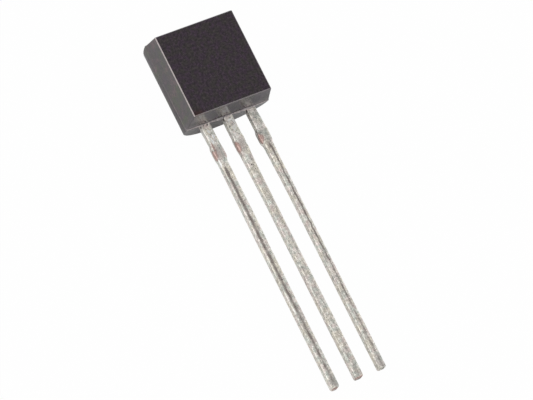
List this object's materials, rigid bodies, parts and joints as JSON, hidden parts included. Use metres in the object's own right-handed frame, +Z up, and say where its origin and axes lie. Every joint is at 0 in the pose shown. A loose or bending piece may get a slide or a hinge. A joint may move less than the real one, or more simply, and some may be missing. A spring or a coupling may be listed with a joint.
{
  "type": "to-92 transistor",
  "caption": "Small through-hole transistor in a D-shaped moulded case with flat tinned leads, lying on its round back.",
  "frame": {"origin": "on the table surface, under the middle of the part's bounding box as it lies on its round back", "axes": "+Z up; +Y along the leads towards the case; +X across the flat face, to the right as the flat is looked at with the leads towards the viewer. The device leans 7.89 degrees, from its lead tips up to its case"},
  "size_m": [0.0046, 0.0188, 0.0041],
  "materials": {
    "epoxy": "moulded epoxy, fine matte, near black",
    "tinned_lead": "dull tin plating over copper alloy, streaked and pitted, copper showing at the cut dam bar",
    "silicon": "polished silicon",
    "die_bond": "silver filled bond layer",
    "gold_wire": "drawn gold wire"
  },
  "bodies": {
    "root": {"case": "epoxy", "lead_left": "tinned_lead", "lead_centre": "tinned_lead", "lead_right": "tinned_lead", "die": "silicon", "die_attach": "die_bond", "bond_wire_left": "gold_wire", "bond_wire_right": "gold_wire"}
  },
  "joints": []
}
